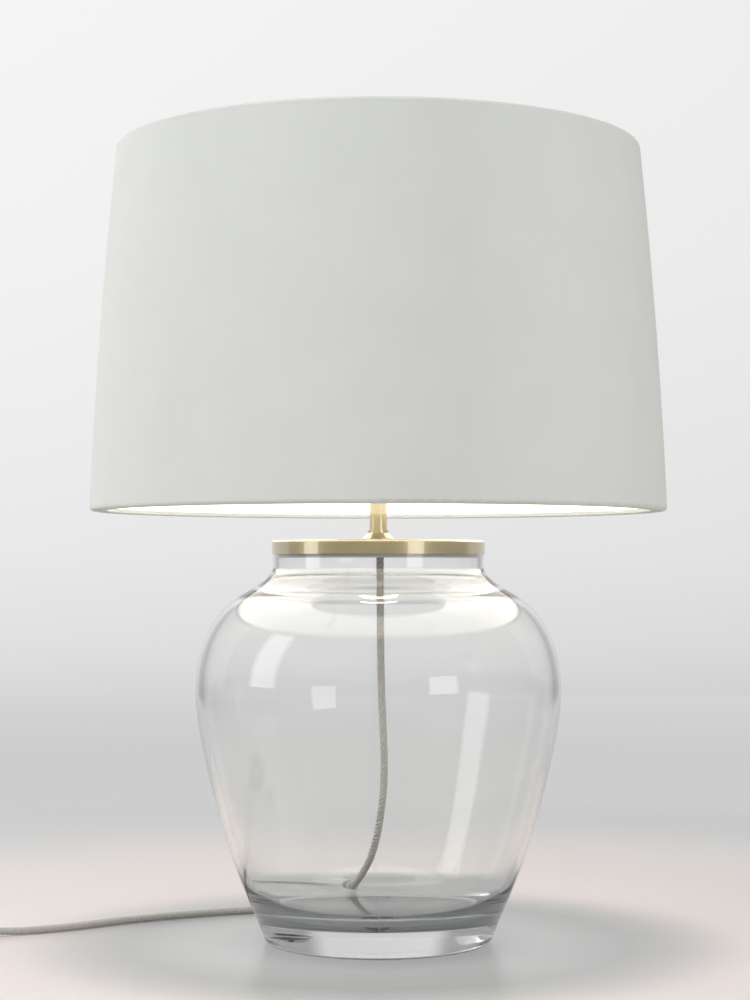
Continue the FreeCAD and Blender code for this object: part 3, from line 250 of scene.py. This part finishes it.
LED = moulded("led_phosphor", (0.80, 0.66, 0.20), 0.4)
GLOBE = lit_material("lit_globe", WARM, 9.0)

FINISH = {
    BRASS: ("jar_lid", "stem_foot", "stem_tube"),
    STEEL: ("lid_washer", "lid_nut", "threaded_tube", "holder_nut", "switch_pivot", "switch_screws"),
    CONTACT: ("holder_contact", "holder_screw_shell", "holder_terminals", "switch_clamps", "bulb_contact"),
    NICKEL: ("bulb_screw_cap", "plug_pins"),
    WHITE_PLASTIC: ("holder_cap", "holder_shell", "shade_nut_lower", "shade_nut_upper", "bulb_collar"),
    IVORY: ("switch_base", "switch_cover", "plug_body"),
    IVORY_RUBBER: ("plug_relief",),
    ROCKER: ("switch_rocker",),
    BLACK: ("bulb_insulator", "plug_pin_sleeves"),
    CORES: ("holder_wires",),
    CERAMIC: ("holder_insert",),
    SILICONE: ("lid_seal",),
    CLEAR_RUBBER: ("cord_grommet",),
    WIRE: ("shade_bottom_ring", "shade_top_ring", "shade_struts", "shade_spider"),
    BOARD: ("bulb_led_board",),
    LED: ("bulb_leds",),
    GLOBE: ("bulb_globe",),
    GLASS: ("glass_jar",),
    LINEN: ("shade_cover", "shade_bottom_hem", "shade_top_hem"),
    LINING_PAINTED_GLOW: ("shade_lining",),
    YARN: ("stem_cable",),
}


def paint(thing, material):
    """Puts one material in every slot of an object."""
    if not thing.material_slots:
        thing.data.materials.append(material)
    for place in thing.material_slots:
        place.material = material


for finish, node_names in FINISH.items():
    for node_name in node_names:
        paint(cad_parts[node_name], finish)

# ------------------------------------------------------------------------------------------- camera
CAMERA_PLACE = (-0.0023, -1.5285, 0.2567)
CAMERA_TILT = 0.0324
CAMERA_LENS = 78.86

camera = bpy.data.objects.new("camera", bpy.data.cameras.new("camera"))
camera.data.lens = CAMERA_LENS
camera.data.sensor_width = 36
camera.location = CAMERA_PLACE
camera.rotation_euler = (math.pi / 2 + CAMERA_TILT, 0, 0)
bpy.context.collection.objects.link(camera)
bpy.context.scene.camera = camera

# ------------------------------------------------------------------------------------------- round pieces


def finish_mesh(name, mesh, sharp_angle=None):
    """Turns a bmesh into a smooth object, with its corners above the angle kept sharp."""
    bmesh.ops.recalc_face_normals(mesh, faces=mesh.faces)
    for face in mesh.faces:
        face.smooth = True
    if sharp_angle is not None:
        for edge in mesh.edges:
            edge.smooth = edge.calc_face_angle(0) < math.radians(sharp_angle)
    data = bpy.data.meshes.new(name)
    mesh.to_mesh(data)
    mesh.free()
    thing = bpy.data.objects.new(name, data)
    bpy.context.collection.objects.link(thing)
    return thing


def smooth_line(points, first_way, last_way, steps):
    """Points along the cubic line through (radius, height) points that starts and ends in the given directions.

    Also gives the line's direction at each of the points it goes through.
    """
    points = numpy.array(points, dtype=float)
    spans = numpy.linalg.norm(numpy.diff(points, axis=0), axis=1)
    count = len(points)
    matrix = numpy.eye(count)
    ways = numpy.zeros((count, 2))
    ways[0] = numpy.array(first_way) / numpy.linalg.norm(first_way)
    ways[-1] = numpy.array(last_way) / numpy.linalg.norm(last_way)
    for i in range(1, count - 1):
        before, after = spans[i - 1], spans[i]
        matrix[i, i - 1 : i + 2] = after, 2 * (before + after), before
        rise = (points[i] - points[i - 1]) / before * after + (points[i + 1] - points[i]) / after * before
        ways[i] = 3 * rise
    ways = numpy.linalg.solve(matrix, ways)
    line = []
    for i, span in enumerate(spans):
        for step in range(steps):
            t = step / steps
            line.append(
                points[i] * (1 + 2 * t) * (1 - t) ** 2
                + ways[i] * span * t * (1 - t) ** 2
                + points[i + 1] * t**2 * (3 - 2 * t)
                - ways[i + 1] * span * t**2 * (1 - t)
            )
    line.append(points[-1])
    return [tuple(point) for point in line], ways


def corner_arc(centre, radius, start, end, steps=6):
    """Points of an arc in a half section, from one angle to another in degrees."""
    angles = [math.radians(start + (end - start) * step / steps) for step in range(steps + 1)]
    return [(centre[0] + radius * math.cos(angle), centre[1] + radius * math.sin(angle)) for angle in angles]


def lathe(name, section, sides, sharp_angle=35):
    """A solid of revolution about the Z axis from a closed half section of (radius, height) points."""
    mesh = bmesh.new()
    rings = []
    for radius, height in section:
        if radius < 1e-6:
            rings.append([mesh.verts.new((0, 0, height))])
            continue
        angles = [math.tau * i / sides for i in range(sides)]
        rings.append([mesh.verts.new((radius * math.cos(a), radius * math.sin(a), height)) for a in angles])
    for low, high in zip(rings, rings[1:] + rings[:1]):
        for i in range(sides):
            j = (i + 1) % sides
            corners = [low[i % len(low)], low[j % len(low)], high[j % len(high)], high[i % len(high)]]
            corners = list(dict.fromkeys(corners))
            if len(corners) > 2:
                mesh.faces.new(corners)
    return finish_mesh(name, mesh, sharp_angle)


def cut_away(thing, cutter):
    """Cuts one object out of another and removes the cutter."""
    modifier = thing.modifiers.new("cut", "BOOLEAN")
    modifier.operation = "DIFFERENCE"
    modifier.solver = "EXACT"
    modifier.object = cutter
    bpy.context.view_layer.update()
    seen = thing.evaluated_get(bpy.context.evaluated_depsgraph_get())
    data = bpy.data.meshes.new_from_object(seen)
    thing.modifiers.clear()
    thing.data = data
    bpy.data.objects.remove(cutter)


# ------------------------------------------------------------------------------------------- glass jar
NECK_RADIUS, NECK_WALL, NECK_BOTTOM, JAR_TOP, RIM_ROUND = 0.0734, 0.0035, 0.2595, 0.2756, 0.0012
BELLY_RADIUS, BELLY_HEIGHT = 0.1267, 0.181
FOOT_RADIUS, FOOT_HEIGHT, FOOT_FLAT = 0.0795, 0.005, 0.0735
JAR_WALL, BASE_THICKNESS, SHOULDER_WALL = 0.0052, 0.020, 0.65
BELOW_BELLY = ((0.2165, 0.337), (0.452, 0.638), (0.688, 0.858))
ABOVE_BELLY = ((0.358, 0.887), (0.623, 0.651), (0.756, 0.405), (0.85, 0.173), (0.92, 0.055))
FOOT_FLARE = 0.4
BOWL = ((0.56, 0.03), (0.79, 0.16), (0.925, 0.52))
HOLE_HEIGHT, HOLE_RADIUS, HOLE_BEARING = 0.022, 0.0046, 104.3
GLASS_SIDES = 288


def jar_sections():
    """The outer line of the jar from its foot to its neck, and the inner line from the floor to its neck."""
    outer = [(FOOT_RADIUS, FOOT_HEIGHT)]
    for height, radius in BELOW_BELLY:
        outer.append((
            FOOT_RADIUS + radius * (BELLY_RADIUS - FOOT_RADIUS),
            FOOT_HEIGHT + height * (BELLY_HEIGHT - FOOT_HEIGHT),
        ))
    outer.append((BELLY_RADIUS, BELLY_HEIGHT))
    for height, radius in ABOVE_BELLY:
        outer.append((
            NECK_RADIUS + radius * (BELLY_RADIUS - NECK_RADIUS),
            BELLY_HEIGHT + height * (NECK_BOTTOM - BELLY_HEIGHT),
        ))
    outer.append((NECK_RADIUS, NECK_BOTTOM))
    outside, ways = smooth_line(outer, (FOOT_FLARE, 1), (0, 1), 14)
    inner = []
    for i in range(1, len(outer) - 1):
        wall = JAR_WALL * (SHOULDER_WALL if i == len(outer) - 2 else 1)
        along = ways[i] / numpy.linalg.norm(ways[i])
        inner.append((outer[i][0] - along[1] * wall, outer[i][1] + along[0] * wall))
    rim = inner[0]
    bowl = [(0, BASE_THICKNESS)]
    bowl += [(rim[0] * r, BASE_THICKNESS + (rim[1] - BASE_THICKNESS) * t) for r, t in BOWL]
    inner.append((NECK_RADIUS - NECK_WALL, NECK_BOTTOM))
    inside, _ = smooth_line(bowl + inner, (1, 0), (0, 1), 14)
    return outside, inside


def glass_jar():
    outside, inside = jar_sections()
    bore = NECK_RADIUS - NECK_WALL
    side = FOOT_RADIUS - FOOT_FLAT
    section = [(0, 0), (FOOT_FLAT - 0.001, 0)]
    section += [
        (FOOT_FLAT + side * math.sin(math.radians(a)), FOOT_HEIGHT * (1 - math.cos(math.radians(a))))
        for a in range(0, 90, 15)
    ]
    section += outside
    section += corner_arc((NECK_RADIUS - RIM_ROUND, JAR_TOP - RIM_ROUND), RIM_ROUND, 0, 90)
    section += [(bore, JAR_TOP), (bore, JAR_TOP - 0.0005)]
    section += inside[::-1]
    jar = lathe("clear_jar", section, GLASS_SIDES)
    below = max(i for i, point in enumerate(outside) if point[1] <= HOLE_HEIGHT)
    (low_radius, low), (high_radius, high) = outside[below], outside[below + 1]
    mouth = low_radius + (high_radius - low_radius) * (HOLE_HEIGHT - low) / (high - low)
    turn = math.radians(HOLE_BEARING)
    out = Vector((high - low, 0, low_radius - high_radius)).normalized()
    place = Vector((mouth * math.cos(turn), mouth * math.sin(turn), HOLE_HEIGHT))
    out = Vector((out.x * math.cos(turn), out.x * math.sin(turn), out.z))
    mesh = bmesh.new()
    bmesh.ops.create_cone(mesh, cap_ends=True, segments=48, radius1=HOLE_RADIUS, radius2=HOLE_RADIUS, depth=0.06)
    drill = finish_mesh("drill", mesh)
    drill.location = place
    drill.rotation_euler = out.to_track_quat("Z", "Y").to_euler()
    cut_away(jar, drill)
    paint(jar, GLASS)
    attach(jar, "base")
    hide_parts("glass_jar")


glass_jar()

# ------------------------------------------------------------------------------------------- flex
CORD_DIAMETER = 0.0055
LEAD_ROUTE = (
    (0.0012, 0.0, 0.2694),
    (0.0013, 0.0, 0.232),
    (0.0020, 0.0004, 0.171),
    (0.0052, 0.0025, 0.112),
    (-0.0016, 0.0220, 0.0635),
    (-0.0142, 0.0558, 0.0342),
    (-0.0263, 0.1031, 0.0134),
    (-0.0430, 0.1246, 0.0036),
    (-0.0710, 0.1280, 0.00275),
    (-0.1100, 0.1180, 0.00275),
    (-0.1545, 0.0955, 0.00275),
    (-0.1900, 0.0715, 0.00275),
    (-0.2220, 0.0420, 0.00275),
    (-0.2620, 0.0213, 0.00275),
    (-0.2810, 0.0126, 0.0065),
    (-0.3000, 0.0039, 0.0065),
)
LINK_ROUTE = (
    (-0.3564, -0.0219, 0.0065),
    (-0.3673, -0.0269, 0.0065),
    (-0.3782, -0.0319, 0.00275),
)
TAIL_ROUTE = (
    (-0.3635, -0.1133, 0.00825),
    (-0.3545, -0.1133, 0.00685),
    (-0.3455, -0.1133, 0.00685),
    (-0.3395, -0.1133, 0.00685),
)
COIL_CENTRE = Vector((-0.3725, -0.0733, 0))
COIL_OUTER = 0.040
COIL_INNER = 0.0223
COIL_START = math.radians(114.6)
COIL_TURNS = 6 + (270 - 114.6) / 360
COIL_STEPS = 18


def coil_points():
    """Turns that spiral in over the table, step up a layer, and spiral out again on top."""
    count = round(COIL_TURNS * COIL_STEPS)
    corner = 1 / math.cos(math.pi / COIL_STEPS)
    points = []
    for step in range(count + 1):
        share = step / count
        inward = 1 - abs(2 * share - 1)
        radius = (COIL_OUTER + (COIL_INNER - COIL_OUTER) * inward) * (1 + corner) / 2
        angle = COIL_START + math.tau * COIL_TURNS * share
        climb = min(max((share - 0.5) * COIL_TURNS + 0.5, 0), 1)
        height = CORD_DIAMETER / 2 + CORD_DIAMETER * climb
        points.append(COIL_CENTRE + Vector((radius * math.cos(angle), radius * math.sin(angle), height)))
    return points


def spline_path(name, points):
    """Points along the smooth NURBS line that has the given points as its corners."""
    curve = bpy.data.curves.new(name, "CURVE")
    curve.dimensions = "3D"
    curve.resolution_u = 24
    spline = curve.splines.new("NURBS")
    spline.points.add(len(points) - 1)
    for place, point in zip(spline.points, points):
        place.co = (*point, 1.0)
    spline.order_u = 3
    spline.use_endpoint_u = True
    holder = bpy.data.objects.new(name, curve)
    bpy.context.collection.objects.link(holder)
    bpy.context.view_layer.update()
    line = bpy.data.meshes.new_from_object(holder)
    path = [vertex.co.copy() for vertex in line.vertices]
    bpy.data.objects.remove(holder)
    return path


def evenly(path, step):
    """The same line with its points a step apart."""
    spaced, left = [path[0].copy()], step
    for a, b in zip(path, path[1:]):
        run = (b - a).length
        while left <= run:
            spaced.append(a.lerp(b, left / run))
            left += step
        left -= run
    return spaced


def frames_along(path):
    """A sideways direction for each point that turns as little as it can along the line."""
    tangents = []
    for i in range(len(path)):
        tangents.append((path[min(i + 1, len(path) - 1)] - path[max(i - 1, 0)]).normalized())
    side = tangents[0].orthogonal().normalized()
    sides = []
    for tangent in tangents:
        side = (side - tangent * side.dot(tangent)).normalized()
        sides.append(side)
    return tangents, sides


def twisted_rope(name, path, diameter, strands, pitch, sides):
    """A rope of strands laid round each other along a line, as one mesh."""
    strand_radius = diameter / 2 / (1 + 1 / math.sin(math.pi / strands)) * 1.06
    lay_radius = diameter / 2 - strand_radius
    tangents, across = frames_along(path)
    mesh = bmesh.new()
    run = 0.0
    runs = [0.0]
    for a, b in zip(path, path[1:]):
        run += (b - a).length
        runs.append(run)
    for strand in range(strands):
        phase = math.tau * strand / strands
        centres = []
        for point, tangent, side, length in zip(path, tangents, across, runs):
            up = tangent.cross(side)
            turn = phase + math.tau * length / pitch
            centres.append(point + (side * math.cos(turn) + up * math.sin(turn)) * lay_radius)
        add_tube(mesh, centres, strand_radius, sides)
    return finish_mesh(name, mesh)


def add_tube(mesh, centres, radius, sides):
    tangents, across = frames_along(centres)
    rings = []
    for centre, tangent, side in zip(centres, tangents, across):
        up = tangent.cross(side)
        ring = []
        for i in range(sides):
            angle = math.tau * i / sides
            ring.append(mesh.verts.new(centre + (side * math.cos(angle) + up * math.sin(angle)) * radius))
        rings.append(ring)
    for low, high in zip(rings, rings[1:]):
        for i in range(sides):
            j = (i + 1) % sides
            mesh.faces.new((low[i], low[j], high[j], high[i]))
    mesh.faces.new(list(reversed(rings[0])))
    mesh.faces.new(rings[-1])


cord_path = evenly(spline_path("route", [Vector(p) for p in LEAD_ROUTE + LINK_ROUTE] + coil_points()
                               + [Vector(p) for p in TAIL_ROUTE]), 0.0009)
flex = twisted_rope("flex", cord_path, CORD_DIAMETER, strands=4, pitch=0.0125, sides=8)
paint(flex, YARN)
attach(flex, "base")
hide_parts("cord_lead", "cord_link", "cord_coil", "cord_tail")

# ------------------------------------------------------------------------------------------- light and stage
AIM = Vector((0, 0, 0.3))


def area_light(name, place, target, width, height, power):
    data = bpy.data.lights.new(name, "AREA")
    data.shape = "RECTANGLE"
    data.size, data.size_y = width, height
    data.energy = power
    thing = bpy.data.objects.new(name, data)
    thing.location = place
    thing.rotation_euler = (Vector(target) - Vector(place)).to_track_quat("-Z", "Y").to_euler()
    bpy.context.collection.objects.link(thing)
    return thing


def key_light(*settings):
    """A soft light that shades the object and isn't mirrored in it."""
    light = area_light(*settings)
    light.visible_glossy = False
    light.visible_transmission = False


def mirrored_panel(name, bearing, distance, low, high, width, brightness):
    """A dim upright panel that the glass and the brass mirror. Its bearing is from the camera's side, in degrees."""
    turn = math.radians(bearing)
    place = Vector((math.sin(turn) * distance, -math.cos(turn) * distance, (low + high) / 2))
    height = high - low
    power = brightness * math.pi * width * height
    light = area_light(name, place, Vector((0, 0, place.z)), width, height, power)
    light.visible_diffuse = False


key_light("left_key", (-1.9, -0.6, 0.95), AIM, 0.5, 0.9, 23)
key_light("right_fill", (1.0, -1.25, 0.55), AIM, 0.35, 1.3, 11)
key_light("top_fill", (-0.3, -0.3, 2.4), AIM, 1.6, 1.6, 21)
mirrored_panel("left_panel", -75.5, 2.0, 0.25, 1.9, 0.66, 2.0)
mirrored_panel("right_panel", 39.5, 1.6, 0.18, 0.52, 0.50, 2.1)

FLOOR_LIGHT = 1.19
FLOOR_REACH = 3.2
# Painted shadow and light on the floor, by distance from the lamp. A grey pool out to about a quarter metre paints
# the lamp's shadow, and a warm ring out to about half a metre paints its light. Beyond that the floor has an even
# tone.
FLOOR_PAINTED_SHADOW_AND_LIGHT = (
    (0.116, grey(203)),
    (0.176, grey(178)),
    (0.210, shown(195, 191, 188)),
    (0.257, shown(230, 219, 215)),
    (0.300, shown(233, 222, 216)),
    (0.474, shown(228, 219, 214)),
    (0.740, grey(208)),
    (1.000, grey(205)),
    (1.700, grey(205)),
    (3.100, grey(214)),
)
BLEND_START, BLEND_END = 0.75, 1.0
FLANK_START, FLANK_END, FLANK_TONE = 0.85, 1.5, 0.5


def darker_flanks(material):
    """A factor that falls from 1 to a dark tone at the far sides, seen only through the glass at its edges."""
    place = add(material, "ShaderNodeNewGeometry").outputs["Position"]
    split = add(material, "ShaderNodeSeparateXYZ")
    link(material, place, split.inputs["Vector"])
    aside = add(material, "ShaderNodeMath", operation="ABSOLUTE")
    link(material, split.outputs["X"], aside.inputs[0])
    fall = add(material, "ShaderNodeMapRange", interpolation_type="SMOOTHSTEP")
    settings = ("From Min", FLANK_START), ("From Max", FLANK_END), ("To Min", 1.0), ("To Max", FLANK_TONE)
    for socket, value in settings:
        fall.inputs[socket].default_value = value
    link(material, aside.outputs["Value"], fall.inputs["Value"])
    rays = add(material, "ShaderNodeLightPath")
    seen = add(material, "ShaderNodeMix", data_type="FLOAT")
    seen.inputs["A"].default_value = 1.0
    link(material, rays.outputs["Is Transmission Ray"], seen.inputs["Factor"])
    link(material, fall.outputs["Result"], seen.inputs["B"])
    return seen.outputs["Result"]


def stage_floor():
    """A floor with a painted shadow under the lamp and a warm ring of painted lamp light round it, fading to an even
    tone further off.
    """
    material, shader = new_material("stage_floor")
    place = add(material, "ShaderNodeNewGeometry").outputs["Position"]
    away = add(material, "ShaderNodeVectorMath", operation="LENGTH")
    link(material, place, away.inputs[0])
    share = add(material, "ShaderNodeMath", operation="DIVIDE")
    link(material, away.outputs["Value"], share.inputs[0])
    share.inputs[1].default_value = FLOOR_REACH
    # The shadow under the lamp and the warm ring of light round it are painted into these colours, and the lamps
    # light the floor on top of them.
    painted_tones = [(distance / FLOOR_REACH, colour) for distance, colour in FLOOR_PAINTED_SHADOW_AND_LIGHT]
    painted_base_colours = [(place, [channel / FLOOR_LIGHT for channel in colour]) for place, colour in painted_tones]
    link(material, ramp(material, share.outputs["Value"], painted_base_colours), shader.inputs["Base Color"])
    shader.inputs["Roughness"].default_value = 0.3
    shader.inputs["Specular IOR Level"].default_value = 0.2
    glow = add(material, "ShaderNodeEmission")
    link(material, ramp(material, share.outputs["Value"], painted_tones), glow.inputs["Color"])
    link(material, darker_flanks(material), glow.inputs["Strength"])
    blend = add(material, "ShaderNodeMapRange", interpolation_type="SMOOTHSTEP")
    blend.inputs["From Min"].default_value = BLEND_START
    blend.inputs["From Max"].default_value = BLEND_END
    link(material, away.outputs["Value"], blend.inputs["Value"])
    mix = add(material, "ShaderNodeMixShader")
    link(material, blend.outputs["Result"], mix.inputs["Fac"])
    link(material, shader.outputs["BSDF"], mix.inputs[1])
    link(material, glow.outputs["Emission"], mix.inputs[2])
    output = next(node for node in material.node_tree.nodes if node.type == "OUTPUT_MATERIAL")
    link(material, mix.outputs["Shader"], output.inputs["Surface"])
    mesh = bmesh.new()
    bmesh.ops.create_grid(mesh, x_segments=1, y_segments=1, size=8)
    floor = finish_mesh("stage_floor", mesh)
    paint(floor, material)


WALL_DISTANCE = 3.0
WALL_TOP = 3.0
WALL_TONES = (
    (0.00, grey(215)),
    (0.10, grey(224)),
    (0.30, grey(233)),
    (0.61, grey(238)),
    (0.92, grey(242)),
    (1.44, grey(245)),
)


def stage_wall():
    """A pale backdrop that shows its own tone, a little darker to the right."""
    material = bpy.data.materials.new("stage_wall")
    material.use_nodes = True
    material.node_tree.nodes.clear()
    output = add(material, "ShaderNodeOutputMaterial")
    place = add(material, "ShaderNodeNewGeometry").outputs["Position"]
    split = add(material, "ShaderNodeSeparateXYZ")
    link(material, place, split.inputs["Vector"])
    share = add(material, "ShaderNodeMath", operation="DIVIDE")
    link(material, split.outputs["Z"], share.inputs[0])
    share.inputs[1].default_value = WALL_TOP
    colour = ramp(material, share.outputs["Value"], [(height / WALL_TOP, tone) for height, tone in WALL_TONES])
    across = add(material, "ShaderNodeMapRange")
    for socket, value in (("From Min", -0.75), ("From Max", 0.75), ("To Min", 1.0), ("To Max", 0.94)):
        across.inputs[socket].default_value = value
    link(material, split.outputs["X"], across.inputs["Value"])
    glow = add(material, "ShaderNodeEmission")
    link(material, colour, glow.inputs["Color"])
    strength = add(material, "ShaderNodeMath", operation="MULTIPLY")
    link(material, across.outputs["Result"], strength.inputs[0])
    link(material, darker_flanks(material), strength.inputs[1])
    link(material, strength.outputs["Value"], glow.inputs["Strength"])
    link(material, glow.outputs["Emission"], output.inputs["Surface"])
    mesh = bmesh.new()
    far, top = WALL_DISTANCE, WALL_TOP * 2
    corners = [mesh.verts.new(corner) for corner in ((-8, far, 0), (8, far, 0), (8, far, top), (-8, far, top))]
    mesh.faces.new(corners)
    wall = finish_mesh("stage_wall", mesh)
    paint(wall, material)


stage_floor()
stage_wall()
world = bpy.data.worlds.new("world")
bpy.context.scene.world = world
world.use_nodes = True
background = world.node_tree.nodes["Background"]
background.inputs["Color"].default_value = (0.93, 0.95, 0.96, 1.0)
background.inputs["Strength"].default_value = 0.46
bpy.context.scene.view_settings.view_transform = "Standard"
